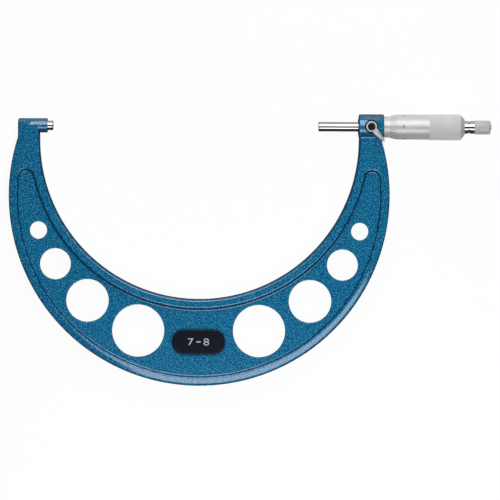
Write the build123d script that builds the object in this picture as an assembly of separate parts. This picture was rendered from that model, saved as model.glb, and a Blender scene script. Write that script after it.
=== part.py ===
from build123d import *
import math
import os

# Outside micrometer for work of 7 to 8 inches, in millimetres. It lies on its back.
# The origin is the centre of the anvil's measuring face. +X runs along the measuring axis to the thimble,
# +Y runs from the bow to that axis, and +Z comes out of the front, where the lock lever is.
# It stands at its lower limit: the thimble reads zero and the measuring faces are 7 inches apart.
# Screw threads are plain cylinders with a small radial gap, so that they turn freely.

# ---- measuring screw -----------------------------------------------------------------------------
INCH = 25.4
GAP = 7 * INCH                      # between the measuring faces at zero
RUNNING = 0.03                      # radial gap of a part that turns or slides in another
THREAD_GAP = 0.04                   # radial gap between the plain cylinders that stand for threads
SIDE_GAP = 0.05                     # axial gap between parts that turn against each other
NEAR = 0.01                         # tolerances for picking out an edge by its place
ROUGHLY = 0.1

# ---- frame ---------------------------------------------------------------------------------------
BOW_X = 98.1                        # the bow is symmetrical about this X
THROAT_R = 106.75                   # inner edge of the bow, at the middle plane
THROAT_Y = -9.1
RIM_R = 127.6                       # outer edge of the bow
RIM_Y = -46.4
RIM_STRAIGHT_Y = -12.0              # from here the outer edge runs straight on into the head
FRAME_T = 9.6                       # thickness of the rims, and diameter of the anvil's boss
OUTER_EDGE_R = 1.6                  # rounding of the outside edges
THROAT_DRAFT = 13                   # degrees from square, each way from the middle plane
THROAT_EDGE_R = 1.3                 # rounding of the throat's edges
HEEL_BLEND_R = 6.0                  # where the straight heel meets the bow
POCKET_DEPTH = 2.4                  # from the face of a rim down to the web
POCKET_DRAFT = 15                   # degrees from square
INNER_RIM = 6.45                    # width of the rim along the throat
OUTER_RIM = 5.6                     # width of the rim along the outside
POCKET_TOP = -29.3                  # Y where the pocket stops on each limb
POCKET_END_R = 5.3
POCKET_LIP_R = 1.3
POCKET_FLOOR_R = 1.3
HOLE_ARC_Y = -29.5                  # the lightening holes' centres lie on an arc round this Y
HOLE_ARC_R = 115.1
HOLES = [(20.6, 17.5), (40.4, 14.3), (56.7, 10.4), (69.3, 5.8)]   # degrees from straight down, radius
HOLE_EDGE_R = 0.4
ANVIL_BOSS_START = -23.5
ANVIL_BOSS_END = -3.7
ANVIL_BOSS_EDGE_R = 0.4
HEAD_R = 8.45                       # cylinder that carries the spindle
HEAD_START = 204.0
HEAD_END = 221.6
HEAD_DOME = 1.0                     # bulge of the head's front end
HEAD_EDGE_R = 0.8
HEAD_BORE_R = 3.325                 # clear of the spindle: only the inner sleeve guides it
HEAD_BLEND_R = 2.4                  # between the head and the limb
PLATE_L = 35.0                      # plates glued on the web, front and back
PLATE_W = 16.2
PLATE_CORNER_R = 7.6
PLATE_H = 1.5
PLATE_EDGE_R = 0.4
PLATE_Y = -144.6

# ---- anvil, spindle and the sleeves between spindle and frame ------------------------------------
SPINDLE_R = 6.35 / 2
TIP_H = 1.0                         # carbide face brazed on the anvil and on the spindle
TIP_CHAMFER = 0.2
ANVIL_DEPTH = 14.0                  # of the anvil in its boss
SEAT_R = 5.5                        # inner sleeve in the head's bore
SEAT_START = 206.5
CORE_R = 6.0                        # inner sleeve under the scale sleeve
CORE_END = 252.5
NUT_SEAT_R = 5.4                    # inner sleeve under the adjusting nut
NUT_SEAT_END = 258.0
GUIDE_END = 216.0                   # a plain guide bore, then a clearance bore, then the nut thread
CLEARANCE_R = 4.1
NUT_THREAD_START = 243.5
THREAD_R = 3.7                      # crests of the spindle's thread
THREAD_START = 217.4
THREAD_END = 258.6
THREAD_EDGE = 0.3
FINGER_SLOT = 0.8                   # slots that let the nut thread close on the spindle
FINGER_START = 246.0
FINGERS = 3
ADJUSTER_R = 6.5
ADJUSTER_START = 253.6
ADJUSTER_END = 257.4
ADJUSTER_EDGE = 0.3
ADJUSTER_NOTCH = 1.4
ADJUSTER_NOTCH_L = 1.0
SCALE_R = 7.1                       # outer sleeve that carries the scale
SCALE_END = 253.0
SCALE_EDGE = 0.2
SPANNER_HOLE_R = 0.6                # in the back of the scale sleeve, to turn it for zero
SPANNER_HOLE_X = 224.3

# ---- thimble -------------------------------------------------------------------------------------
THIMBLE_START = 226.1
THIMBLE_EDGE_R = 7.48
THIMBLE_R = 8.35
BEVEL_END = 230.4
THIMBLE_BORE_R = 7.2
GRIP_START = 252.1
GRIP_END = 272.9
GRIP_R = 8.8
GRIP_EDGE = 0.45
THIMBLE_WALL = 264.5                # inner face of the closed end
THIMBLE_END = 275.7
SHOULDER_R = 5.3                    # where the sloping shoulder meets the end face
NECK_R = 3.3                        # spindle between its thread and its taper
TAPER_START = 265.4                 # taper that centres the thimble on the spindle
TAPER_END = 271.6
TAPER_START_R = 4.1
TAPER_END_R = 3.6

# ---- ratchet stop --------------------------------------------------------------------------------
STUD_R = 1.65                       # ratchet screw's thread in the spindle
STUD_START = 263.0
COLLAR_R = 4.22
COLLAR_END = 278.4
COLLAR_EDGE_R = 0.3
SPIGOT_R = 3.4
SPIGOT_END = 279.0
STEM_R = 1.8
STEM_END = 290.6
STEM_FLAT = 1.45                    # from the axis to the two flats that drive the toothed ring
FLAT_START = 283.7
KNOB_NECK_END = 282.3
KNOB_R = 4.7
KNOB_STEP = 0.4
KNOB_END = 293.1
KNOB_CHAMFER = 0.9
CAVITY_R = 3.4
CAVITY_START = 283.7
TEETH = 12
TOOTH_H = 0.35
TOOTH_W = 1.0
TOOTH_IN = 2.2                      # radius where a tooth starts
RING_R = 3.3
RING_T = 1.9
SPRING_WIRE_R = 0.25
SPRING_R = 2.7                      # to the middle of the wire
SPRING_TURNS = 4.5
WASHER_R = 3.2
WASHER_T = 0.4
PLUG_R = 2.9                        # head of the screw that closes the knob
PLUG_END = 293.9
PLUG_RIM = 292.4
PLUG_DOME_R = 2.3
PLUG_STUD_R = 0.95
PLUG_STUD_L = 3.6
PLUG_SLOT = 0.7

# ---- spindle lock --------------------------------------------------------------------------------
LOCK_X = 213.2
SPOT_R = 4.6                        # flat seat milled in the head
SPOT_Z = 7.0
LOCK_PITCH = 0.5
LOCK_SWING = 65                     # degrees of the lever from free to locked
SHOE_R = 1.6
SHOE_TOP = 5.65
SHOE_TRAVEL = LOCK_PITCH * LOCK_SWING / 360
SHOE_GAP = 0.01                     # left to the spindle when locked
CLAMP_R = 2.0
CLAMP_SQUARE = 2.8
CLAMP_TOP = 8.9
LEVER_RING_R = 3.65
LEVER_RING_TOP = 9.5
LEVER_RING_EDGE = 0.25
LEVER_ANGLE = -47.5                 # degrees from +X, at rest
LEVER_ROOT = 3.0                    # from the lock's axis to the start of the arm
LEVER_BEND = 5.0                    # where the arm starts to slope down
LEVER_TIP = 13.6
LEVER_ROOT_W = 3.7
LEVER_TIP_W = 1.4
LEVER_ROOT_Z = 8.4                  # underside of the arm up to the bend
LEVER_TIP_Z = 5.2
LEVER_SLANT = 45                    # degrees between the arm and the cut that makes its point
LEVER_EDGE_T = 0.55                 # thickness at the arm's edges
LEVER_RIDGE_T = 1.05                # thickness along its ridge
CAP_R = 2.5
CAP_SEAT = CLAMP_TOP
CAP_TOP = 10.2
CAP_EDGE = 0.5
CAP_STUD_R = 0.9
CAP_STUD_L = 2.0
HEX_AF = 2.2
HEX_DEPTH = 0.9
COUNTERBORE_R = 2.7


def rod(r, start, end):
    """A cylinder on the measuring axis, from X start to X end."""
    return Pos((start + end) / 2, 0, 0) * Rot(0, 90, 0) * Cylinder(r, end - start)


def post(r, low, high):
    """A cylinder on the lock's axis, from Z low to Z high."""
    return Pos(LOCK_X, 0, (low + high) / 2) * Cylinder(r, high - low)


def box(x0, x1, y0, y1, z0, z1):
    """A box given by its limits."""
    return Pos((x0 + x1) / 2, (y0 + y1) / 2, (z0 + z1) / 2) * Box(x1 - x0, y1 - y0, z1 - z0)


def turned(*outline):
    """A solid turned about the measuring axis from (X, radius) points that start and end on the axis."""
    return revolve(make_face(Polyline(*outline, close=True)), Axis.X, 360)


def rings(shape, x, r=None, tol=1e-3):
    """The circular edges of a shape that lie in the plane at X, all of them or only those of radius r."""
    found = [e for e in shape.edges().filter_by(GeomType.CIRCLE) if abs(e.center().X - x) < tol]
    return [e for e in found if r is None or abs(e.radius - r) < tol]


def bow_outline():
    """Plan of the C before its throat is cut: a disc with a straight heel behind the anvil.

    Below the head the outer edge leaves the disc along its tangent.
    """
    disc = Pos(BOW_X, RIM_Y) * Circle(RIM_R)
    above = Pos(BOW_X, RIM_R / 2) * Rectangle(3 * RIM_R, RIM_R)
    limb = BOW_X - THROAT_R
    heel_low = RIM_Y + math.sqrt(RIM_R**2 - (BOW_X - ANVIL_BOSS_START) ** 2)
    heel = Pos((limb + ANVIL_BOSS_START) / 2, heel_low / 2) * Rectangle(limb - ANVIL_BOSS_START, -heel_low)
    rise = math.asin((RIM_STRAIGHT_Y - RIM_Y) / RIM_R)
    leave = (BOW_X + RIM_R * math.cos(rise), RIM_STRAIGHT_Y)
    arrive = (leave[0] + RIM_STRAIGHT_Y * math.tan(rise), 0)
    wedge = make_face(Polyline((BOW_X, RIM_STRAIGHT_Y), leave, arrive, (BOW_X, 0), close=True))
    outline = disc - above + heel + wedge
    kink = outline.vertices().sort_by_distance((ANVIL_BOSS_START, heel_low))[0]
    return fillet(kink, HEEL_BLEND_R)


def throat():
    """The opening of the C above its middle plane, with drafted walls, as the solid that is cut away."""
    arc = Pos(BOW_X, THROAT_Y) * Circle(THROAT_R)
    mouth = Pos(BOW_X, THROAT_Y + RIM_R / 2) * Rectangle(2 * THROAT_R, RIM_R)
    return extrude(arc + mouth, FRAME_T / 2, taper=-THROAT_DRAFT)


def pocket():
    """The recess in the front face of the bow, with drafted walls, as the solid that is cut away."""
    inner = Pos(BOW_X, THROAT_Y) * Circle(THROAT_R + INNER_RIM)
    outer = Pos(BOW_X, RIM_Y) * Circle(RIM_R - OUTER_RIM)
    above = Pos(BOW_X, POCKET_TOP + RIM_R / 2) * Rectangle(3 * RIM_R, RIM_R)
    plan = outer - inner - above
    plan = fillet(plan.vertices(), POCKET_END_R)
    return extrude(Pos(0, 0, FRAME_T / 2) * plan, -POCKET_DEPTH, taper=POCKET_DRAFT)


def head():
    """The cylinder that carries the spindle: a slightly domed front end and rounded edges."""
    crown = HEAD_START + HEAD_DOME
    dome = ThreePointArc((HEAD_START, 0), (HEAD_START + HEAD_DOME / 4, HEAD_R / 2), (crown, HEAD_R))
    rest = Polyline((crown, HEAD_R), (HEAD_END, HEAD_R), (HEAD_END, 0), (HEAD_START, 0))
    solid = revolve(make_face(Curve() + [dome, rest]), Axis.X, 360)
    return fillet(rings(solid, crown) + rings(solid, HEAD_END), HEAD_EDGE_R)


def middles(shape, test):
    """The edges of a shape whose middle point passes a test of its x, y and z."""
    return [e for e in shape.edges() if test((e @ 0.5).X, (e @ 0.5).Y, (e @ 0.5).Z)]


def bow():
    """The C with the anvil's boss on one limb, its outside and its throat rounded."""
    half = FRAME_T / 2
    edge = THROAT_R + half * math.tan(math.radians(THROAT_DRAFT))
    solid = extrude(bow_outline(), half, both=True) - throat() - mirror(throat(), Plane.XY)

    def on_throat(x, y, z):
        on_arc = abs(math.hypot(x - BOW_X, y - THROAT_Y) - edge) < ROUGHLY
        on_limb = abs(abs(x - BOW_X) - edge) < ROUGHLY and THROAT_Y < y < -ROUGHLY
        return (on_arc or on_limb) and abs(abs(z) - half) < ROUGHLY

    def on_outside(x, y, z):
        on_rim = abs(math.hypot(x - BOW_X, y - RIM_Y) - RIM_R) < ROUGHLY and abs(z) > ROUGHLY
        on_heel = x < ANVIL_BOSS_START + ROUGHLY and y > RIM_Y and abs(z) > ROUGHLY
        over_boss = x < ANVIL_BOSS_START + ROUGHLY and y > ROUGHLY
        return on_rim or on_heel or over_boss

    solid = fillet(middles(solid, on_throat), THROAT_EDGE_R)
    solid += rod(half, ANVIL_BOSS_START, ANVIL_BOSS_END)
    solid = fillet(middles(solid, on_outside), OUTER_EDGE_R)
    return fillet(rings(solid, ANVIL_BOSS_END), ANVIL_BOSS_EDGE_R)


def join_head(solid):
    """The bow with the head added, blended where the faces of the limb run into the head."""
    half = FRAME_T / 2
    solid += head()
    meets = math.sqrt(HEAD_R**2 - half**2)

    def on_joint(x, y, z):
        return HEAD_START < x < HEAD_END and abs(y + meets) < NEAR and abs(abs(z) - half) < NEAR

    lines = [e for e in middles(solid, on_joint) if e.geom_type == GeomType.LINE]
    return fillet(lines, HEAD_BLEND_R)


def sink_pockets(solid):
    """The bow with its pockets cut in front and back, rounded at the lip and at the floor."""
    half = FRAME_T / 2
    web = half - POCKET_DEPTH

    def on_lip(x, y, z):
        past_throat = math.hypot(x - BOW_X, y - THROAT_Y) > THROAT_R + INNER_RIM / 2
        inside_rim = math.hypot(x - BOW_X, y - RIM_Y) < RIM_R - OUTER_RIM / 2
        return abs(abs(z) - half) < NEAR and y < POCKET_TOP + ROUGHLY and past_throat and inside_rim

    def on_floor(x, y, z):
        return abs(abs(z) - web) < NEAR

    for cut in (pocket(), mirror(pocket(), Plane.XY)):
        solid -= cut
    solid = fillet(middles(solid, on_lip), POCKET_LIP_R)
    return fillet(middles(solid, on_floor), POCKET_FLOOR_R)


def lighten(solid):
    """The bow with its eight round holes through the web."""
    web = FRAME_T / 2 - POCKET_DEPTH
    for angle, r in HOLES:
        for turn in (math.radians(-angle), math.radians(angle)):
            x = BOW_X + HOLE_ARC_R * math.sin(turn)
            y = HOLE_ARC_Y - HOLE_ARC_R * math.cos(turn)
            solid -= Pos(x, y, 0) * Cylinder(r, FRAME_T)
    on_web = [e for e in solid.edges().filter_by(GeomType.CIRCLE) if abs(abs(e.center().Z) - web) < NEAR]
    mouths = [e for e in on_web if any(abs(e.radius - r) < NEAR for angle, r in HOLES)]
    return fillet(mouths, HOLE_EDGE_R)


def frame():
    """The C-shaped casting: rims round a thinner web, lightening holes, anvil boss and spindle head."""
    solid = lighten(sink_pockets(join_head(bow())))
    solid -= rod(SPINDLE_R, ANVIL_BOSS_END - ANVIL_DEPTH, ANVIL_BOSS_END)
    solid -= rod(HEAD_BORE_R, HEAD_START - HEAD_DOME, SEAT_START)
    solid -= rod(SEAT_R, SEAT_START, HEAD_END)
    solid -= post(SPOT_R, SPOT_Z, 2 * HEAD_R)
    return solid - post(CLAMP_R + THREAD_GAP, SEAT_R / 2, SPOT_Z)


def plate(side):
    """A flat oval plate glued on the web; side is 1 for the front and -1 for the back."""
    web = FRAME_T / 2 - POCKET_DEPTH
    outline = RectangleRounded(PLATE_L, PLATE_W, PLATE_CORNER_R)
    solid = extrude(Pos(BOW_X, PLATE_Y, web) * outline, PLATE_H)
    solid = fillet(solid.edges().group_by(Axis.Z)[-1], PLATE_EDGE_R)
    return solid if side > 0 else mirror(solid, Plane.XY)


def anvil():
    """Hardened pin pressed into the boss."""
    return rod(SPINDLE_R, ANVIL_BOSS_END - ANVIL_DEPTH, -TIP_H)


def anvil_tip():
    """Carbide disc brazed on the anvil: its face is the origin."""
    solid = rod(SPINDLE_R, -TIP_H, 0)
    return chamfer(rings(solid, 0), TIP_CHAMFER)


def thread_sleeve():
    """Inner sleeve, pressed in the head: it guides the spindle and ends in the slotted nut thread."""
    solid = rod(SEAT_R, SEAT_START, HEAD_END)
    solid += rod(CORE_R, HEAD_END, CORE_END)
    solid += rod(NUT_SEAT_R, CORE_END, NUT_SEAT_END)
    solid -= rod(SPINDLE_R + RUNNING, SEAT_START, GUIDE_END)
    solid -= rod(CLEARANCE_R, GUIDE_END, NUT_THREAD_START)
    solid -= rod(THREAD_R + THREAD_GAP, NUT_THREAD_START, NUT_SEAT_END)
    solid -= post(SHOE_R + RUNNING, 0, CORE_R)
    slot = box(FINGER_START, NUT_SEAT_END, -FINGER_SLOT / 2, FINGER_SLOT / 2, 0, 2 * CORE_R)
    for finger in range(FINGERS):
        solid -= Rot(360 / FINGERS * (finger + 0.5), 0, 0) * slot
    return solid


def scale_sleeve():
    """Outer sleeve with the scale: it turns on the inner sleeve when zero is set with a spanner."""
    solid = rod(SCALE_R, HEAD_END + SIDE_GAP, SCALE_END) - rod(CORE_R + RUNNING, HEAD_END, SCALE_END)
    solid = chamfer(rings(solid, SCALE_END, SCALE_R), SCALE_EDGE)
    hole = Pos(SPANNER_HOLE_X, 0, -SCALE_R) * Cylinder(SPANNER_HOLE_R, SCALE_R)
    return solid - hole


def adjusting_nut():
    """Ring nut that closes the fingers of the inner sleeve on the spindle's thread."""
    solid = rod(ADJUSTER_R, ADJUSTER_START, ADJUSTER_END)
    solid = chamfer(rings(solid, ADJUSTER_START) + rings(solid, ADJUSTER_END), ADJUSTER_EDGE)
    solid -= rod(NUT_SEAT_R + THREAD_GAP, ADJUSTER_START, ADJUSTER_END)
    half = ADJUSTER_NOTCH / 2
    notch = box(ADJUSTER_END - ADJUSTER_NOTCH_L, ADJUSTER_END, -half, half, 0, 2 * ADJUSTER_R)
    for turn in (0, 90, 180, 270):
        solid -= Rot(turn, 0, 0) * notch
    return solid


def spindle_tip():
    """Carbide disc brazed on the spindle."""
    solid = rod(SPINDLE_R, GAP, GAP + TIP_H)
    return chamfer(rings(solid, GAP), TIP_CHAMFER)


def taper():
    """The cone at the end of the spindle, which fits in the thimble."""
    return turned((TAPER_START, 0), (TAPER_START, TAPER_START_R), (TAPER_END, TAPER_END_R), (TAPER_END, 0))


def spindle():
    """Shank, thread, neck and the taper that carries the thimble, with a hole for the ratchet's screw."""
    solid = rod(SPINDLE_R, GAP + TIP_H, THREAD_START)
    solid += rod(THREAD_R, THREAD_START, THREAD_END)
    solid += rod(NECK_R, THREAD_END, TAPER_START)
    solid += taper()
    ends = rings(solid, THREAD_START, THREAD_R) + rings(solid, THREAD_END, THREAD_R)
    solid = chamfer(ends, THREAD_EDGE)
    return solid - rod(STUD_R, STUD_START, TAPER_END)


def thimble():
    """Bevelled edge for the graduations, plain barrel, wider grip and closed end with the tapered seat."""
    edge = [(THIMBLE_START, 0), (THIMBLE_START, THIMBLE_EDGE_R), (BEVEL_END, THIMBLE_R)]
    step = [(GRIP_START, THIMBLE_R), (GRIP_START, GRIP_R - GRIP_EDGE)]
    grip = [(GRIP_START + GRIP_EDGE, GRIP_R), (GRIP_END, GRIP_R)]
    end = [(THIMBLE_END, SHOULDER_R), (THIMBLE_END, 0)]
    solid = turned(*edge, *step, *grip, *end)
    solid -= rod(THIMBLE_BORE_R, THIMBLE_START, THIMBLE_WALL)
    solid -= rod(TAPER_START_R, THIMBLE_WALL, TAPER_START)
    solid -= taper()
    return solid - rod(TAPER_END_R, TAPER_END, THIMBLE_END)


def flatted(solid, start, end):
    """A stem with two flats, between X start and X end."""
    for side in (-1, 1):
        low, high = sorted((side * STEM_FLAT, side * STEM_R * 2))
        solid -= box(start, end, -STEM_R * 2, STEM_R * 2, low, high)
    return solid


def ratchet_screw():
    """Screw that clamps the thimble on the taper and carries the ratchet on its flatted stem."""
    solid = rod(STUD_R, STUD_START, THIMBLE_END)
    collar = rod(COLLAR_R, THIMBLE_END, COLLAR_END)
    solid += fillet(rings(collar, COLLAR_END), COLLAR_EDGE_R)
    solid += rod(SPIGOT_R, COLLAR_END, SPIGOT_END)
    solid += flatted(rod(STEM_R, SPIGOT_END, STEM_END), FLAT_START, STEM_END)
    return solid - rod(PLUG_STUD_R, STEM_END - PLUG_STUD_L, STEM_END)


def tooth(grow):
    """One ratchet tooth, square behind and sloping in front, or with grow the space that it fits in."""
    base = CAVITY_START + SIDE_GAP
    top = base - TOOTH_H - grow
    half = TOOTH_W / 2 + grow
    side = make_face(Polyline((base, -half), (top, -half), (base, half), close=True))
    return extrude(Pos(0, 0, TOOTH_IN - grow) * side, RING_R - TOOTH_IN + 2 * grow)


def ratchet_knob():
    """Knob turned by the fingers: slim neck, wider grip, and a cavity that ends in ratchet tooth spaces."""
    start = SPIGOT_END + SIDE_GAP
    neck = [(start, 0), (start, COLLAR_R), (KNOB_NECK_END, COLLAR_R), (KNOB_NECK_END + KNOB_STEP, KNOB_R)]
    end = [(KNOB_END - KNOB_CHAMFER, KNOB_R), (KNOB_END, KNOB_R - KNOB_CHAMFER), (KNOB_END, 0)]
    solid = turned(*neck, *end)
    solid = fillet(rings(solid, start, COLLAR_R), COLLAR_EDGE_R)
    solid -= rod(STEM_R + RUNNING, start, CAVITY_START)
    solid -= rod(CAVITY_R, CAVITY_START, KNOB_END)
    space = tooth(SIDE_GAP)
    for turn in range(TEETH):
        solid -= Rot(turn * 360 / TEETH, 0, 0) * space
    return solid


def ratchet_ring():
    """Toothed ring that slides on the stem's flats and is pressed into the knob's tooth spaces."""
    start = CAVITY_START + SIDE_GAP
    solid = rod(RING_R, start, start + RING_T)
    for turn in range(TEETH):
        solid += Rot(turn * 360 / TEETH, 0, 0) * tooth(0)
    solid &= rod(RING_R, start - TOOTH_H, start + RING_T)
    flat = STEM_FLAT + RUNNING
    bore = box(start - TOOTH_H, start + RING_T, -RING_R, RING_R, -flat, flat)
    return solid - (bore & rod(STEM_R + RUNNING, start - TOOTH_H, start + RING_T))


def ratchet_spring():
    """Coil spring between the toothed ring and the washer."""
    start = CAVITY_START + SIDE_GAP + RING_T + SPRING_WIRE_R + SIDE_GAP
    length = STEM_END - WASHER_T - SPRING_WIRE_R - SIDE_GAP - start
    path = Helix(length / SPRING_TURNS, length, SPRING_R)
    profile = Plane(path @ 0, z_dir=path % 0) * Circle(SPRING_WIRE_R)
    return Pos(start, 0, 0) * Rot(0, 90, 0) * sweep(profile, path, is_frenet=True)


def ratchet_washer():
    """Washer on the end of the stem that holds the spring."""
    start = STEM_END - WASHER_T
    return rod(WASHER_R, start, STEM_END) - rod(STEM_R + RUNNING, start, STEM_END)


def ratchet_end_screw():
    """Slotted screw with a domed head that closes the knob."""
    rise = PLUG_END - PLUG_RIM
    dome_r = (PLUG_DOME_R**2 + rise**2) / (2 * rise)
    head = rod(PLUG_R, STEM_END, PLUG_RIM)
    dome = Pos(PLUG_END - dome_r, 0, 0) * Sphere(dome_r)
    head += dome & rod(PLUG_DOME_R, PLUG_RIM - PLUG_SLOT, PLUG_END)
    head -= box(PLUG_END - 2 * PLUG_SLOT, PLUG_END, -PLUG_SLOT / 2, PLUG_SLOT / 2, -PLUG_R, PLUG_R)
    return head + rod(PLUG_STUD_R, STEM_END - PLUG_STUD_L, STEM_END)


def lock_shoe():
    """Brass shoe, hollowed to the spindle's radius, that the lock presses on the spindle."""
    saddle = rod(SPINDLE_R + SHOE_GAP, LOCK_X - SHOE_R, LOCK_X + SHOE_R)
    return post(SHOE_R, SPINDLE_R / 2, SHOE_TOP) - Pos(0, 0, SHOE_TRAVEL) * saddle


def lock_clamp():
    """Screw that drives the shoe down: it is threaded in the head and has a square top for the lever."""
    square = extrude(Rectangle(CLAMP_SQUARE, CLAMP_SQUARE), CLAMP_TOP - SPOT_Z)
    square = Pos(LOCK_X, 0, SPOT_Z) * Rot(0, 0, LEVER_ANGLE) * square
    solid = post(CLAMP_R, SHOE_TOP, SPOT_Z) + square
    return solid - post(CAP_STUD_R, CAP_SEAT - CAP_STUD_L, CAP_SEAT)


def arm_section(reach, width, low):
    """Section of the lever's arm at a distance from the lock's axis: flat underside, ridge on top."""
    half = width / 2
    edge = low + LEVER_EDGE_T
    points = [(-half, low), (half, low), (half, edge), (0, low + LEVER_RIDGE_T), (-half, edge)]
    return make_face(Polyline(*[(reach, y, z) for y, z in points], close=True))


def lock_lever():
    """Ring on the clamp screw's square, with a ridged arm that slopes down and ends in a slanting point.

    The gap under the ring is the travel of the lock screw, so that the ring clears its seat when locked.
    """
    low = SPOT_Z + SHOE_TRAVEL + SIDE_GAP
    ring = Pos(0, 0, (LEVER_RING_TOP + low) / 2) * Cylinder(LEVER_RING_R, LEVER_RING_TOP - low)
    ring = chamfer(ring.edges().filter_by(GeomType.CIRCLE), LEVER_RING_EDGE)
    root = arm_section(LEVER_ROOT, LEVER_ROOT_W, LEVER_ROOT_Z)
    bend = arm_section(LEVER_BEND, LEVER_ROOT_W, LEVER_ROOT_Z)
    tip = arm_section(LEVER_TIP, LEVER_TIP_W, LEVER_TIP_Z)
    arm = loft([root, bend, tip], ruled=True)
    beyond = Pos(LEVER_TIP / 2, 0, 0) * Box(LEVER_TIP, 2 * LEVER_TIP, 2 * LEVER_TIP)
    arm -= Pos(LEVER_TIP, -LEVER_TIP_W / 2, 0) * Rot(0, 0, LEVER_SLANT) * beyond
    hole = CLAMP_SQUARE + 2 * RUNNING
    solid = ring + arm
    solid -= Box(hole, hole, 2 * LEVER_RING_TOP)
    solid -= Pos(0, 0, CAP_SEAT + LEVER_RING_TOP / 2) * Cylinder(COUNTERBORE_R, LEVER_RING_TOP)
    return Pos(LOCK_X, 0, 0) * Rot(0, 0, LEVER_ANGLE) * solid


def lock_cap_screw():
    """Socket screw that holds the lever on the clamp screw."""
    solid = post(CAP_R, CAP_SEAT, CAP_TOP)
    solid = fillet(solid.edges().filter_by(GeomType.CIRCLE).group_by(Axis.Z)[-1], CAP_EDGE)
    hexagon = RegularPolygon(HEX_AF / 2, 6, major_radius=False)
    solid -= extrude(Pos(LOCK_X, 0, CAP_TOP) * hexagon, -HEX_DEPTH)
    return solid + post(CAP_STUD_R, CAP_SEAT - CAP_STUD_L, CAP_SEAT)


PARTS = {
    "frame": frame(),
    "name_plate": plate(1),
    "rear_plate": plate(-1),
    "anvil": anvil(),
    "anvil_carbide_tip": anvil_tip(),
    "thread_sleeve": thread_sleeve(),
    "scale_sleeve": scale_sleeve(),
    "adjusting_nut": adjusting_nut(),
    "spindle_carbide_tip": spindle_tip(),
    "spindle": spindle(),
    "thimble": thimble(),
    "ratchet_screw": ratchet_screw(),
    "ratchet_knob": ratchet_knob(),
    "ratchet_ring": ratchet_ring(),
    "ratchet_spring": ratchet_spring(),
    "ratchet_washer": ratchet_washer(),
    "ratchet_end_screw": ratchet_end_screw(),
    "lock_shoe": lock_shoe(),
    "lock_clamp_screw": lock_clamp(),
    "lock_lever": lock_lever(),
    "lock_cap_screw": lock_cap_screw(),
}

os.makedirs("parts", exist_ok=True)
for name, solid in PARTS.items():
    export_step(solid, f"parts/{name}.step")
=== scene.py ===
import math

import bmesh
import bpy
import numpy as np
from mathutils import Matrix, Vector

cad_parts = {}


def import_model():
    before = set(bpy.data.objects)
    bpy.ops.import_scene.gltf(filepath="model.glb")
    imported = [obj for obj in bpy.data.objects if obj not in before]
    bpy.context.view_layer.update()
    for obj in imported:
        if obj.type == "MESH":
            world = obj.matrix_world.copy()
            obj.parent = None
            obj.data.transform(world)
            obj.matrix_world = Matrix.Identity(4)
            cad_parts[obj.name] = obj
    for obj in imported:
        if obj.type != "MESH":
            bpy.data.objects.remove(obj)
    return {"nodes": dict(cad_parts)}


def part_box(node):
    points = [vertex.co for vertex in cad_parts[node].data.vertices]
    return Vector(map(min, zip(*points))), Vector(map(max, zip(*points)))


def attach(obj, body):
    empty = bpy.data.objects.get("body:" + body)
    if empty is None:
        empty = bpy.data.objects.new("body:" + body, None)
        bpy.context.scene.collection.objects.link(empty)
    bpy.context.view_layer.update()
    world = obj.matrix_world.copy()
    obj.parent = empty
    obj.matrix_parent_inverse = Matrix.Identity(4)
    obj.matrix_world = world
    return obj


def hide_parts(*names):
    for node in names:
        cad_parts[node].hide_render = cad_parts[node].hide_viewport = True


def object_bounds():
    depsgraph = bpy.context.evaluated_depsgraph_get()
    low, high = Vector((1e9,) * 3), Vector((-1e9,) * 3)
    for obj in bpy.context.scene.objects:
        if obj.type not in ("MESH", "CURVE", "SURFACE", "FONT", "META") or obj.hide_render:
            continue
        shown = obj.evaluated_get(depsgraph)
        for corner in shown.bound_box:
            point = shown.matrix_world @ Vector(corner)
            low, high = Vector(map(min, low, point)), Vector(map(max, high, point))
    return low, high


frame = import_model()
cad_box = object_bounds()

# An outside micrometer, finished round its CAD frame. X runs along the measuring axis, Z out of the front.
# Lengths are in millimetres, and MM turns them into the scene's metres.
MM = 0.001
TURN = 2 * math.pi


# ---- places taken from the frame ----------------------------------------------------------------
def span(node):
    """Lowest and highest X of a CAD node, in millimetres."""
    low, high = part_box(node)
    return low.x / MM, high.x / MM


def reach(node):
    """Largest distance of a CAD node from the measuring axis, in millimetres."""
    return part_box(node)[1].z / MM


def middle(node):
    """Centre of a CAD node's box, in metres."""
    low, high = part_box(node)
    return (Vector(low) + Vector(high)) / 2


THIMBLE_START, THIMBLE_END = span("thimble")
GRIP_R = reach("thimble")
BARREL_R = GRIP_R - 0.45            # in front of the grip
BEVEL_R = BARREL_R - 0.87           # at the thimble's edge
BEVEL_END = THIMBLE_START + 4.3
GRIP_START = THIMBLE_START + 26.0
GRIP_END = THIMBLE_START + 46.8
THREAD_PITCH = 0.635                # 40 threads per inch
SCALE_START, SCALE_END = span("scale_sleeve")
SCALE_R = reach("scale_sleeve")
KNOB_START, KNOB_END = span("ratchet_knob")
KNOB_R = reach("ratchet_knob")
LOCK = middle("lock_cap_screw")
SEAT_SHADE_R = 4.62                       # radius of the painted shade on the head's spotface, round the lock's screw
# heights between which the spotface's painted shade lies
SEAT_SHADE_Z = (4.0, 7.2)
RIM_R = 127.6                       # outer edge of the bow
CROWN_R = 123.4                     # beyond this the enamel falls away towards the edge
BOW = (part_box("frame")[1].x - RIM_R * MM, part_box("frame")[0].y + RIM_R * MM, 0.0)


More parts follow.
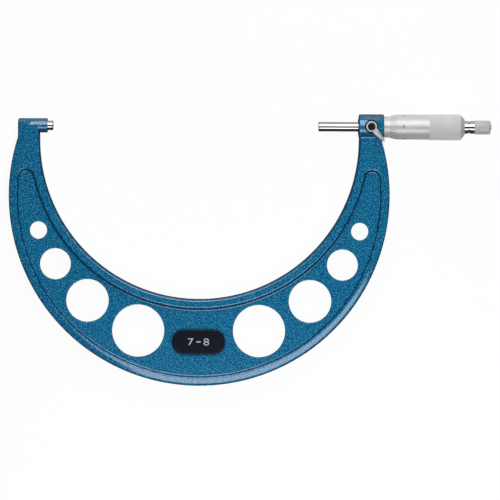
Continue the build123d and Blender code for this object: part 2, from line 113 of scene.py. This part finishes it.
# ---- finishes -----------------------------------------------------------------------------------
class Shader:
    """A Principled material, and the nodes that feed it."""

    def __init__(self, name, **values):
        self.material = bpy.data.materials.new(name)
        self.material.use_nodes = True
        self.tree = self.material.node_tree
        self.bsdf = self.tree.nodes["Principled BSDF"]
        for key, value in values.items():
            self.bsdf.inputs[key.replace("_", " ")].default_value = value
        self.place = self.add("ShaderNodeTexCoord").outputs["Object"]

    def add(self, kind, inputs=None, **settings):
        """A new node. An input is a number, a tuple, or another node's output."""
        node = self.tree.nodes.new(kind)
        for key, value in settings.items():
            setattr(node, key, value)
        for key, value in (inputs or {}).items():
            if isinstance(value, bpy.types.NodeSocket):
                self.tree.links.new(value, node.inputs[key])
            else:
                node.inputs[key].default_value = value
        return node

    def math(self, operation, *values):
        """The result of a Math node."""
        return self.add("ShaderNodeMath", dict(enumerate(values)), operation=operation).outputs[0]

    def feed(self, key, socket):
        """Connects a node's output to the surface."""
        self.tree.links.new(socket, self.bsdf.inputs[key])

    def stretched(self, x, y, z):
        """Object coordinates multiplied along each axis."""
        return self.add("ShaderNodeMapping", {"Vector": self.place, "Scale": (x, y, z)}).outputs["Vector"]

    def noise(self, scale, detail=2.0, roughness=0.5, vector=None):
        """Noise with features of about 1 / scale metres."""
        inputs = {"Vector": vector or self.place, "Scale": scale, "Detail": detail, "Roughness": roughness}
        return self.add("ShaderNodeTexNoise", inputs).outputs["Fac"]

    def ramp(self, factor, *stops):
        """A colour for each value of the factor, from (place, colour) stops."""
        node = self.add("ShaderNodeValToRGB", {"Fac": factor})
        points = node.color_ramp.elements
        while len(points) < len(stops):
            points.new(1.0)
        for point, (place, colour) in zip(points, stops):
            point.position = place
            point.color = (*colour, 1.0)
        return node.outputs["Color"]

    def remap(self, value, low, high, new_low, new_high):
        """The value moved from one range to another, and held inside it."""
        inputs = {"Value": value, "From Min": low, "From Max": high, "To Min": new_low, "To Max": new_high}
        return self.add("ShaderNodeMapRange", inputs).outputs["Result"]

    def mix(self, factor, first, second):
        """One colour faded into another."""
        inputs = {"Fac": factor, "Color1": first, "Color2": second}
        return self.add("ShaderNodeMixRGB", inputs).outputs["Color"]

    def apart(self, centre):
        """Distance of a place from an upright line through a centre, in metres."""
        step = self.add("ShaderNodeVectorMath", {0: self.place, 1: tuple(centre)}, operation="SUBTRACT")
        inputs = {0: step.outputs[0], 1: (1.0, 1.0, 0.0)}
        flat = self.add("ShaderNodeVectorMath", inputs, operation="MULTIPLY")
        return self.add("ShaderNodeVectorMath", {0: flat.outputs[0]}, operation="LENGTH").outputs["Value"]

    def bump(self, height, distance, strength=1.0, under=None):
        """Small relief; the distance is in metres."""
        inputs = {"Height": height, "Distance": distance, "Strength": strength}
        if under is not None:
            inputs["Normal"] = under
        node = self.add("ShaderNodeBump", inputs)
        self.feed("Normal", node.outputs["Normal"])
        return node.outputs["Normal"]


def hammertone():
    """Blue hammertone enamel: light and dark flecks under a glossy skin, and painted shade, near black, in
    the spotface round the lock's screw.

    Painted shade darkens it where it is seen edge on and in the corners, and its skin is slightly crowned at
    the outer rim.
    """
    s = Shader("hammertone_enamel", IOR=1.9, Specular_IOR_Level=0.6, Roughness=0.12)
    s.bsdf.inputs["Specular Tint"].default_value = (0.78, 0.86, 1.0, 1.0)
    patch = s.noise(420.0, detail=2.0)
    fleck = s.noise(1650.0, detail=1.8, roughness=0.55)
    both = s.math("ADD", s.remap(patch, 0.3, 0.7, -0.03, 0.03), fleck)
    colour = s.ramp(both, (0.34, (0.0005, 0.048, 0.220)), (0.44, (0.001, 0.110, 0.350)),
                    (0.52, (0.002, 0.215, 0.500)), (0.59, (0.020, 0.440, 0.720)), (0.67, (0.16, 0.85, 1.00)))
    # Painted shade: near-black colour in the spotface round the lock's screw, standing in for its shadow.
    near = s.math("LESS_THAN", s.apart(LOCK), SEAT_SHADE_R * MM)
    height = s.add("ShaderNodeSeparateXYZ", {"Vector": s.place}).outputs["Z"]
    above = s.math("GREATER_THAN", height, SEAT_SHADE_Z[0] * MM)
    below = s.math("LESS_THAN", height, SEAT_SHADE_Z[1] * MM)
    seat_shade = s.math("MULTIPLY", s.math("MULTIPLY", near, below), above)
    # Painted shade: the colour fades to dark navy where the surface is seen edge on, standing in for shade on
    # steep walls.
    tilt = s.add("ShaderNodeLayerWeight", {"Blend": 0.5}).outputs["Facing"]
    # Painted shade: the colour fades to dark navy in corners and recesses, found by ambient occlusion.
    corner = s.add("ShaderNodeAmbientOcclusion", {"Distance": 2.2 * MM}).outputs["AO"]
    edge_on_shade = s.remap(tilt, 0.07, 0.5, 0.0, 0.8)
    corner_shade = s.remap(corner, 0.5, 0.92, 0.9, 0.0)
    shaded = s.mix(s.math("MAXIMUM", edge_on_shade, corner_shade), colour, (0.001, 0.030, 0.110, 1.0))
    s.feed("Base Color", s.mix(seat_shade, shaded, (0.006, 0.010, 0.016, 1.0)))
    # Painted shade in the reflection too: the gloss is weaker in corners and recesses.
    s.feed("Specular IOR Level", s.remap(corner, 0.5, 0.92, 0.2, 0.65))
    s.feed("Roughness", s.remap(patch, 0.3, 0.7, 0.09, 0.15))
    cells = s.add("ShaderNodeTexVoronoi", {"Vector": s.place, "Scale": 950.0}, feature="SMOOTH_F1")
    beyond = s.math("MULTIPLY", s.math("SUBTRACT", s.apart(BOW), CROWN_R * MM), 1 / MM)
    crown = s.bump(s.math("SMOOTH_MAX", beyond, 0.0, 1.4), -0.25 * MM)
    pebbled = s.bump(cells.outputs["Distance"], 0.014 * MM, 0.5, crown)
    s.bump(fleck, 0.010 * MM, 0.5, pebbled)
    return s.material


def turned_metal(name, colour, roughness, line_depth, lines=9000.0, spread=0.05, around="x", metallic=1.0):
    """Metal finished on a lathe or grinder: fine lines run round the axis, so the grain varies along it."""
    s = Shader(name, Metallic=metallic, Roughness=roughness)
    stretch = (1.0, 0.02, 0.02) if around == "x" else (0.02, 0.02, 1.0)
    grain = s.noise(lines, detail=3.0, roughness=0.6, vector=s.stretched(*stretch))
    cloud = s.noise(180.0, detail=2.0)
    light = tuple(min(1.0, c * 1.03) for c in colour)
    dark = tuple(c * 0.95 for c in colour)
    s.feed("Base Color", s.ramp(cloud, (0.3, dark), (0.7, light)))
    s.feed("Roughness", s.remap(grain, 0.3, 0.7, max(0.03, roughness - spread), roughness + spread))
    s.bump(grain, line_depth * MM, 0.6)
    return s.material


def blasted_metal(name, colour, roughness, grain_depth):
    """Satin metal with a very fine even grain."""
    s = Shader(name, Metallic=0.35, Roughness=roughness)
    grain = s.noise(14000.0, detail=2.0, roughness=0.7)
    cloud = s.noise(120.0, detail=3.0)
    s.feed("Base Color", s.ramp(cloud, (0.3, tuple(c * 0.95 for c in colour)), (0.7, colour)))
    s.feed("Roughness", s.remap(grain, 0.3, 0.7, roughness - 0.04, roughness + 0.05))
    s.bump(grain, grain_depth * MM, 0.4)
    return s.material


def carbide():
    """Lapped sintered carbide: dark grey with pin-point grains."""
    s = Shader("lapped_carbide", Metallic=1.0, Roughness=0.2)
    grain = s.noise(26000.0, detail=3.0, roughness=0.8)
    s.feed("Base Color", s.ramp(grain, (0.35, (0.34, 0.34, 0.35)), (0.65, (0.52, 0.52, 0.54))))
    s.feed("Roughness", s.remap(grain, 0.3, 0.7, 0.14, 0.28))
    return s.material


def moulded_black(name, colour, roughness):
    """Black plate with a fine spark-eroded grain."""
    s = Shader(name, Roughness=roughness, Specular_IOR_Level=0.4)
    grain = s.noise(9000.0, detail=3.0, roughness=0.7)
    dark = tuple(c * 0.9 for c in colour)
    light = tuple(c * 1.1 for c in colour)
    s.feed("Base Color", s.ramp(grain, (0.3, dark), (0.7, light)))
    s.feed("Roughness", s.remap(grain, 0.3, 0.7, roughness - 0.04, roughness + 0.05))
    s.bump(grain, 0.01 * MM, 0.4)
    return s.material


def black_oxide():
    """Oiled black oxide on steel: nearly black, with a brownish worn sheen."""
    s = Shader("oiled_black_oxide", Metallic=0.85, Roughness=0.2)
    cloud = s.noise(900.0, detail=4.0, roughness=0.6)
    s.feed("Base Color", s.ramp(cloud, (0.35, (0.05, 0.052, 0.05)), (0.7, (0.13, 0.13, 0.12))))
    s.feed("Roughness", s.remap(cloud, 0.3, 0.7, 0.16, 0.26))
    s.bump(s.noise(12000.0), 0.006 * MM, 0.5)
    return s.material


def paint_fill():
    """Black filler in the engraved lines and figures."""
    s = Shader("engraving_fill", Roughness=0.6)
    cloud = s.noise(8000.0)
    s.feed("Base Color", s.ramp(cloud, (0.3, (0.05, 0.05, 0.055)), (0.7, (0.10, 0.10, 0.11))))
    return s.material


ENAMEL = hammertone()
GROUND = turned_metal("ground_steel", (0.64, 0.64, 0.64), 0.06, 0.0003, lines=16000.0, spread=0.02)
BRIGHT = turned_metal("bright_turned_steel", (0.70, 0.70, 0.70), 0.10, 0.0012)
SATIN = turned_metal("satin_chrome", (0.93, 0.91, 0.94), 0.42, 0.003, lines=7000.0, metallic=0.34)
KNURL = turned_metal("satin_knurl", (0.99, 0.97, 1.0), 0.55, 0.002, metallic=0.05)
KNOB = turned_metal("satin_knob", (0.78, 0.81, 0.795), 0.55, 0.002, metallic=0.35)
TURNED = turned_metal("plain_turned_steel", (0.56, 0.56, 0.57), 0.28, 0.004, lines=4000.0)
SPRING = turned_metal("drawn_spring_wire", (0.40, 0.40, 0.42), 0.3, 0.001)
BRASS = turned_metal("turned_brass", (0.72, 0.50, 0.20), 0.25, 0.003, around="z")
LEVER = blasted_metal("satin_lever_chrome", (0.97, 0.94, 1.0), 0.4, 0.004)
MARK = blasted_metal("bright_marking", (0.70, 0.71, 0.73), 0.4, 0.004)
CARBIDE = carbide()
PLATE = moulded_black("black_plate", (0.010, 0.015, 0.026), 0.16)
OXIDE = black_oxide()
FILL = paint_fill()

CAD_FINISH = {
    "frame": ENAMEL, "name_plate": PLATE, "rear_plate": PLATE, "anvil": GROUND, "anvil_carbide_tip": CARBIDE,
    "thread_sleeve": TURNED, "adjusting_nut": TURNED, "spindle_carbide_tip": CARBIDE, "ratchet_screw": BRIGHT,
    "ratchet_ring": TURNED, "ratchet_spring": SPRING, "ratchet_washer": TURNED, "ratchet_end_screw": BRIGHT,
    "lock_shoe": BRASS, "lock_clamp_screw": TURNED, "lock_lever": LEVER, "lock_cap_screw": OXIDE,
    "scale_sleeve": SATIN, "thimble": SATIN, "ratchet_knob": KNOB, "spindle": GROUND,
}
for node, finish in CAD_FINISH.items():
    for place in frame["nodes"][node].material_slots:
        place.material = finish


# ---- pieces turned on a lathe -------------------------------------------------------------------
SHARP = math.radians(24)            # edges that turn by more than this stay sharp


def place_mesh(name, mesh, *finishes):
    """A new object with its finishes, smooth except at its edges."""
    for finish in finishes:
        mesh.materials.append(finish)
    mesh.shade_smooth()
    mesh.set_sharp_from_angle(angle=SHARP)
    piece = bpy.data.objects.new(name, mesh)
    bpy.context.scene.collection.objects.link(piece)
    return piece


def ring_mesh(name, rows, columns, crossed=()):
    """A closed ring round the measuring axis, from rows of (X, radius) in millimetres.

    A radius may be a list with one value for each column. The last row joins the first. In the crossed rows,
    each cell is split along the diagonal that joins its two lower corners, as in a diamond knurl.
    """
    turn = np.arange(columns) * TURN / columns
    radii = np.array([np.broadcast_to(r, columns) for x, r in rows])
    along = np.broadcast_to(np.array([x for x, r in rows])[:, None], radii.shape)
    points = np.stack([along, radii * np.sin(turn), radii * np.cos(turn)], axis=2).reshape(-1, 3) * MM
    faces = []
    for row in range(len(rows)):
        after = (row + 1) % len(rows)
        for column in range(columns):
            beside = (column + 1) % columns
            a = row * columns + column
            b = row * columns + beside
            c = after * columns + beside
            d = after * columns + column
            if row not in crossed:
                faces.append((a, d, c, b))
            elif (row + column) % 2:
                faces += [(a, d, b), (d, c, b)]
            else:
                faces += [(a, d, c), (a, c, b)]
    mesh = bpy.data.meshes.new(name)
    mesh.from_pydata(points.tolist(), [], faces)
    return mesh


def rounded(x0, r0, x1, r1, steps):
    """Rows from one point to another along a quarter of an ellipse that bulges away from the axis."""
    turns = [step / steps * math.pi / 2 for step in range(steps + 1)]
    return [(x0 + (x1 - x0) * math.sin(t), r1 + (r0 - r1) * math.cos(t)) for t in turns]


# ---- engraving ----------------------------------------------------------------------------------
LINE = 0.14                         # width of an engraved line
CUT = 0.09                          # its depth


def flat_bar(x0, x1, y0, y1, step=0.5):
    """A flat bar cut into short lengths, as a mesh 2 mm thick in flat millimetres."""
    b = bmesh.new()
    xs = np.linspace(x0, x1, max(2, math.ceil((x1 - x0) / step) + 1))
    ys = np.linspace(y0, y1, max(2, math.ceil((y1 - y0) / step) + 1))
    grid = {}
    for level in (-1, 1):
        for i, x in enumerate(xs):
            for j, y in enumerate(ys):
                grid[i, j, level] = b.verts.new((x, y, level))
    m, n = len(xs) - 1, len(ys) - 1
    for i in range(m):
        for j in range(n):
            for level in (-1, 1):
                b.faces.new([grid[i + p, j + q, level] for p, q in ((0, 0), (1, 0), (1, 1), (0, 1))])
    for i in range(m):
        for j in (0, n):
            b.faces.new([grid[i + p, j, level] for p, level in ((0, -1), (1, -1), (1, 1), (0, 1))])
    for j in range(n):
        for i in (0, m):
            b.faces.new([grid[i, j + q, level] for q, level in ((0, -1), (1, -1), (1, 1), (0, 1))])
    bmesh.ops.recalc_face_normals(b, faces=b.faces)
    mesh = bpy.data.meshes.new("bar")
    b.to_mesh(mesh)
    b.free()
    return mesh


def flat_figure(text, x, y, height):
    """Figures in the built-in typeface, centred on a point, as a mesh 2 mm thick in flat millimetres."""
    curve = bpy.data.curves.new("figure", "FONT")
    curve.body = text
    curve.align_x = "CENTER"
    curve.align_y = "CENTER"
    curve.size = height / 0.7
    curve.resolution_u = 3
    curve.extrude = 1.0
    holder = bpy.data.objects.new("figure", curve)
    bpy.context.scene.collection.objects.link(holder)
    bpy.context.view_layer.update()
    depsgraph = bpy.context.evaluated_depsgraph_get()
    mesh = bpy.data.meshes.new_from_object(holder.evaluated_get(depsgraph))
    bpy.data.objects.remove(holder)
    b = bmesh.new()
    b.from_mesh(mesh)
    bmesh.ops.remove_doubles(b, verts=b.verts, dist=1e-5)
    low = Vector([min(v.co[i] for v in b.verts) for i in range(3)])
    high = Vector([max(v.co[i] for v in b.verts) for i in range(3)])
    shift = Vector((x, y, 0)) - (low + high) / 2
    bmesh.ops.translate(b, verts=b.verts, vec=shift)
    bmesh.ops.recalc_face_normals(b, faces=b.faces)
    b.to_mesh(mesh)
    b.free()
    return mesh


def wrap(flat, surface, depth):
    """Bends a flat shape round the axis, with its lower side at a depth under the surface."""
    for vertex in flat.vertices:
        x, y, level = vertex.co
        r = surface(x)
        turn = y / r
        r += 0.3 if level > 0 else -depth
        vertex.co = Vector((x, r * math.sin(turn), r * math.cos(turn))) * MM
    return flat


def smooth_round(mesh, slope=lambda x: 0.0, inside=0.0):
    """Gives the turned outside the normals of its true surface, so that cuts don't disturb its shine.

    The slope is the surface's rise along X, or None for what stays as it is. So do faces nearer the axis
    than inside.
    """
    mesh.shade_smooth()
    mesh.set_sharp_from_angle(angle=SHARP)
    normals = [corner.vector.copy() for corner in mesh.corner_normals]
    fill = mesh.materials.find(FILL.name)
    for face in mesh.polygons:
        x, y, z = face.center / MM
        r = math.hypot(y, z)
        rise = slope(x)
        if face.material_index == fill or r < inside or rise is None or abs(face.normal.x + rise) > 0.2:
            continue
        for corner in face.loop_indices:
            point = mesh.vertices[mesh.loops[corner].vertex_index].co
            normals[corner] = Vector((-rise * math.hypot(point.y, point.z), point.y, point.z)).normalized()
    mesh.normals_split_custom_set(normals)


def engrave(piece, cuts, surface, slope=lambda x: 0.0, inside=0.0):
    """Cuts (shape, turn) pairs into a turned piece: each is bent round its front, then turned in place."""
    b = bmesh.new()
    for flat, turn in cuts:
        wrap(flat, surface, CUT)
        flat.transform(Matrix.Rotation(-turn, 4, "X"))
        b.from_mesh(flat)
        bpy.data.meshes.remove(flat)
    mesh = bpy.data.meshes.new("cutter")
    b.to_mesh(mesh)
    b.free()
    mesh.materials.append(FILL)
    cutter = bpy.data.objects.new("cutter", mesh)
    bpy.context.scene.collection.objects.link(cutter)
    cut = piece.modifiers.new("engraving", "BOOLEAN")
    cut.operation = "DIFFERENCE"
    cut.solver = "EXACT"
    cut.material_mode = "TRANSFER"
    cut.object = cutter
    bpy.context.view_layer.update()
    depsgraph = bpy.context.evaluated_depsgraph_get()
    ready = bpy.data.meshes.new_from_object(piece.evaluated_get(depsgraph))
    piece.modifiers.clear()
    piece.data = ready
    bpy.data.objects.remove(cutter)
    smooth_round(ready, slope, inside)


# ---- scale sleeve -----------------------------------------------------------------------------------
DIVISIONS = 40                      # each is one turn of the screw
LABELLED = 4                        # every fourth line is long and has a figure
SCALE_WALL = 1.07


def scale_sleeve():
    """The sleeve with a datum line along its front, and divisions with their figures beside it."""
    inner = SCALE_R - SCALE_WALL
    rows = [(SCALE_START, inner), (SCALE_START, SCALE_R - 0.1), (SCALE_START + 0.1, SCALE_R),
            (SCALE_END - 0.2, SCALE_R), (SCALE_END, SCALE_R - 0.2), (SCALE_END, inner)]
    piece = place_mesh("engraved_scale_sleeve", ring_mesh("scale", rows, 144), SATIN)
    cuts = [(flat_bar(SCALE_START - 1, SCALE_END - 1.5, -LINE / 2, LINE / 2, step=40), 0)]
    for division in range(DIVISIONS + 1):
        x = THIMBLE_START + division * THREAD_PITCH
        labelled = division % LABELLED == 0
        length = 2.6 if labelled else 1.5
        cuts.append((flat_bar(x - LINE / 2, x + LINE / 2, -length, -LINE / 2 - 0.05), 0))
        if labelled:
            cuts.append((flat_figure(str(division // LABELLED % 10), x, -3.9, 1.8), 0))
    engrave(piece, cuts, lambda x: SCALE_R, inside=SCALE_R - 0.3)
    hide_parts("scale_sleeve")
    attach(piece, "scale_group")


# ---- thimble ----------------------------------------------------------------------------------------
GRADUATIONS = 25
LINE_END = 3.4                      # lines end this far behind the edge: plain, every fifth, and zero
FIFTH_END = 4.6
ZERO_END = 6.8
FIGURES_X = 8.65                    # centre of the figures, behind the edge
KNURLS = 80
KNURL_DEPTH = 0.17
KNURL_PITCH = 0.7                   # along the axis
THIMBLE_BORE_R = 7.2
CLOSED_END = 11.2                   # thickness of the thimble's closed end
TAPER_X = (10.3, 4.1)               # tapered hole for the spindle: how far its ends are from the end face
TAPER_R = (4.1, 3.6)                # its radii there
SHOULDER = (0.15, 5.42, 5.2)        # where the sloping shoulder meets the end face: length and two radii


def thimble_surface(x):
    """Radius of the thimble's bevel and barrel."""
    share = (x - THIMBLE_START) / (BEVEL_END - THIMBLE_START)
    return BEVEL_R + (BARREL_R - BEVEL_R) * min(1.0, max(0.0, share))


def thimble_slope(x):
    """Rise of that surface along X, or None where the grip begins."""
    if x < BEVEL_END:
        return (BARREL_R - BEVEL_R) / (BEVEL_END - THIMBLE_START)
    return 0.0 if x < GRIP_START - 0.1 else None


def thimble():
    """The thimble with its graduated bevel, its figures and its diamond-knurled grip."""
    columns = 2 * KNURLS
    length = GRIP_END - GRIP_START - 0.7
    count = 2 * round(length / KNURL_PITCH)
    rows = [(THIMBLE_START, THIMBLE_BORE_R), (THIMBLE_START, BEVEL_R), (BEVEL_END, BARREL_R)]
    rows += [(BEVEL_END + 0.4, BARREL_R), (GRIP_START - 0.05, BARREL_R), (GRIP_START, BARREL_R)]
    low = GRIP_R - KNURL_DEPTH
    rows += [(GRIP_START + 0.02, low - 0.06), (GRIP_START + 0.3, low)]
    crossed = []
    for step in range(count + 1):
        row = len(rows)
        crossed.append(row)
        high = np.arange(columns) + row
        rows.append((GRIP_START + 0.35 + length * step / count, np.where(high % 2, GRIP_R, low)))
    crossed.pop()
    rows += rounded(GRIP_END - 0.25, low, GRIP_END + 0.55, low - 0.75, steps=4)
    rows += [(THIMBLE_END - SHOULDER[0], SHOULDER[1]), (THIMBLE_END, SHOULDER[2]), (THIMBLE_END, TAPER_R[1])]
    rows += [(THIMBLE_END - TAPER_X[1], TAPER_R[1]), (THIMBLE_END - TAPER_X[0], TAPER_R[0])]
    rows += [(THIMBLE_END - CLOSED_END, TAPER_R[0]), (THIMBLE_END - CLOSED_END, THIMBLE_BORE_R)]
    mesh = ring_mesh("thimble", rows, columns, crossed)
    piece = place_mesh("knurled_thimble", mesh, SATIN, KNURL)
    for face in mesh.polygons:
        x, y, z = face.center / MM
        if GRIP_START + 0.1 < x < GRIP_END + 0.1 and math.hypot(y, z) > BARREL_R - 0.1:
            face.material_index = 1
    cuts = []
    for line in range(GRADUATIONS):
        turn = line / GRADUATIONS * TURN
        end = ZERO_END if line == 0 else FIFTH_END if line % 5 == 0 else LINE_END
        bends = THIMBLE_START + end > BEVEL_END
        step = 0.7 if bends else 9
        cuts.append((flat_bar(THIMBLE_START - 0.5, THIMBLE_START + end, -LINE / 2, LINE / 2, step), turn))
        if line % 5 == 0:
            cuts.append((flat_figure(str(line), THIMBLE_START + FIGURES_X, 0, 2.4), turn))
    engrave(piece, cuts, thimble_surface, thimble_slope, BEVEL_R - 0.1)
    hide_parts("thimble")
    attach(piece, "spindle_group")


# ---- ratchet knob -----------------------------------------------------------------------------------
GROOVES = 56                        # straight knurl
GROOVE_DEPTH = 0.11
NECK_L = 3.25
NECK_R = KNOB_R - 0.48
STEM_R = 1.83                       # hole for the stem, and the wider hollow behind it
HOLLOW_R = 3.4
HOLLOW_L = 9.4


def ratchet_knob():
    """The knob with its slim neck, its straight knurl and its open end."""
    wave = np.tile([0.0, 0.0, -GROOVE_DEPTH, -GROOVE_DEPTH], GROOVES)
    neck_end = KNOB_START + NECK_L
    start = neck_end + 0.4
    hollow = KNOB_END - HOLLOW_L
    rows = [(KNOB_START, STEM_R)]
    rows += [(KNOB_START, NECK_R - 0.3), (KNOB_START + 0.09, NECK_R - 0.09), (KNOB_START + 0.3, NECK_R)]
    rows += [(neck_end - 0.05, NECK_R), (neck_end, NECK_R), (neck_end + 0.05, NECK_R + 0.05)]
    rows += [(start - 0.02, KNOB_R - 0.12), (start + 0.15, KNOB_R + wave), (KNOB_END - 0.95, KNOB_R + wave)]
    rows += [(KNOB_END - 0.75, KNOB_R - 0.13), (KNOB_END - 0.1, KNOB_R - 0.8), (KNOB_END, KNOB_R - 1.0)]
    rows += [(KNOB_END, HOLLOW_R + 0.05), (KNOB_END - 0.05, HOLLOW_R), (hollow, HOLLOW_R), (hollow, STEM_R)]
    piece = place_mesh("knurled_ratchet_knob", ring_mesh("knob", rows, len(wave)), KNOB, BRIGHT)
    for face in piece.data.polygons:
        if face.center.x < (neck_end - 0.02) * MM:
            face.material_index = 1
    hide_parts("ratchet_knob")
    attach(piece, "knob_group")


# ---- range figures on the name plate --------------------------------------------------------------------
FIGURE_H = 4.8
FIGURE_X = 4.2                      # each figure's centre, from the plate's
FIGURE_STRETCH = 1.25               # the figures are this much wider than the typeface
INLAY = 0.06                        # depth in the plate, and height over it


def range_figures():
    """The range in inches, inlaid in the name plate in plain figures."""
    centre = middle("name_plate")
    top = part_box("name_plate")[1].z
    seven = flat_figure("7", -FIGURE_X, 0, FIGURE_H)
    eight = flat_figure("8", FIGURE_X, 0, FIGURE_H)
    b = bmesh.new()
    for flat in (seven, flat_bar(-1.2, 1.2, -0.4, 0.4), eight):
        b.from_mesh(flat)
        bpy.data.meshes.remove(flat)
    for vertex in b.verts:
        x, y, level = vertex.co
        x *= FIGURE_STRETCH
        vertex.co = Vector((centre.x + x * MM, centre.y + y * MM, top + level * INLAY * MM))
    mesh = bpy.data.meshes.new("range_figures")
    b.to_mesh(mesh)
    b.free()
    piece = place_mesh("range_figures", mesh, MARK)
    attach(piece, "frame_group")


scale_sleeve()
thimble()
ratchet_knob()
range_figures()


# ---- floor, light and camera --------------------------------------------------------------------------
def floor():
    """A plain pale floor just under the lowest point.

    Only the camera sees it so pale: it reflects as dark cloth with a paler far side, but lights from below.
    """
    low, high = cad_box
    centre = (low + high) / 2
    bpy.ops.mesh.primitive_plane_add(size=6.0, location=(centre.x, centre.y, low.z - 0.05 * MM))
    plane = bpy.context.object
    plane.name = "floor"
    s = Shader("pale_floor", Roughness=0.9, Specular_IOR_Level=0.0, Emission_Strength=0.94)
    tone = s.noise(3.0)
    s.feed("Base Color", s.ramp(tone, (0.0, (0.08, 0.08, 0.083)), (1.0, (0.11, 0.11, 0.11))))
    s.bsdf.inputs["Emission Color"].default_value = (1, 1, 1, 1)
    toward = s.add("ShaderNodeSeparateXYZ", {"Vector": s.add("ShaderNodeNewGeometry").outputs["Incoming"]})
    path = s.add("ShaderNodeLightPath")
    gloss = s.remap(toward.outputs["Y"], -0.9, -0.4, 0.6, 0.05)
    soft = s.math("MULTIPLY", path.outputs["Is Diffuse Ray"], 1.3)
    dim = s.add("ShaderNodeEmission", {"Strength": s.math("MAXIMUM", gloss, soft)})
    mix = s.add("ShaderNodeMixShader", {0: path.outputs["Is Camera Ray"]})
    s.tree.links.new(dim.outputs[0], mix.inputs[1])
    s.tree.links.new(s.bsdf.outputs[0], mix.inputs[2])
    s.tree.links.new(mix.outputs[0], s.tree.nodes["Material Output"].inputs["Surface"])
    plane.data.materials.append(s.material)


def softbox(name, left, right, first, second, radiance):
    """A rectangular light that shines down, in metres: from X left to right, between two edges at (Y, Z)."""
    across = Vector((0, second[0] - first[0], second[1] - first[1]))
    light = bpy.data.lights.new(name, "AREA")
    light.shape = "RECTANGLE"
    light.size = right - left
    light.size_y = across.length
    light.energy = radiance * math.pi * light.size * light.size_y
    lamp = bpy.data.objects.new(name, light)
    along = Vector((1, 0, 0))
    turn = Matrix((along, across.normalized(), along.cross(across).normalized())).transposed()
    spot = Vector(((left + right) / 2, (first[0] + second[0]) / 2, (first[1] + second[1]) / 2))
    lamp.matrix_world = Matrix.Translation(spot) @ turn.to_4x4()
    lamp.visible_camera = False
    bpy.context.scene.collection.objects.link(lamp)


def world():
    """Dark surroundings, grey beyond the far side; the camera sees them as a plain pale backdrop."""
    w = bpy.data.worlds.new("studio")
    bpy.context.scene.world = w
    w.use_nodes = True
    tree = w.node_tree
    nodes = tree.nodes
    ground = nodes["Background"]
    ground.inputs["Color"].default_value = (1, 1, 1, 1)
    side = nodes.new("ShaderNodeTexCoord").outputs["Generated"]
    split = nodes.new("ShaderNodeSeparateXYZ")
    tree.links.new(side, split.inputs[0])
    ramp = nodes.new("ShaderNodeMapRange")
    tree.links.new(split.outputs["Y"], ramp.inputs["Value"])
    ramp.inputs["From Min"].default_value = 0.75
    ramp.inputs["From Max"].default_value = 0.93
    ramp.inputs["To Min"].default_value = 0.03
    ramp.inputs["To Max"].default_value = 0.44
    tree.links.new(ramp.outputs["Result"], ground.inputs["Strength"])
    plain = nodes.new("ShaderNodeBackground")
    plain.inputs["Color"].default_value = (0.93, 0.93, 0.94, 1)
    path = nodes.new("ShaderNodeLightPath")
    mix = nodes.new("ShaderNodeMixShader")
    tree.links.new(path.outputs["Is Camera Ray"], mix.inputs["Fac"])
    tree.links.new(ground.outputs[0], mix.inputs[1])
    tree.links.new(plain.outputs[0], mix.inputs[2])
    tree.links.new(mix.outputs[0], nodes["World Output"].inputs["Surface"])


def camera():
    """Straight above the front with a long lens, rolled by a quarter of a degree."""
    view_width = 0.3352
    height = 3.0
    data = bpy.data.cameras.new("camera")
    data.sensor_width = 36
    data.lens = data.sensor_width * height / view_width
    eye = bpy.data.objects.new("camera", data)
    anvil_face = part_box("anvil_carbide_tip")[1].x
    eye.location = (anvil_face + 0.1323, -0.0829, height)
    eye.rotation_euler = (0, 0, math.radians(0.28))
    bpy.context.scene.collection.objects.link(eye)
    bpy.context.scene.camera = eye


floor()
softbox("far_softbox", -0.15, 0.45, (0.185, 0.8), (0.95, 0.5), 2.6)
softbox("near_softbox", -0.06, 0.45, (-0.7, 0.58), (-0.21, 0.45), 2.2)
world()
camera()
bpy.context.scene.view_settings.view_transform = "Standard"
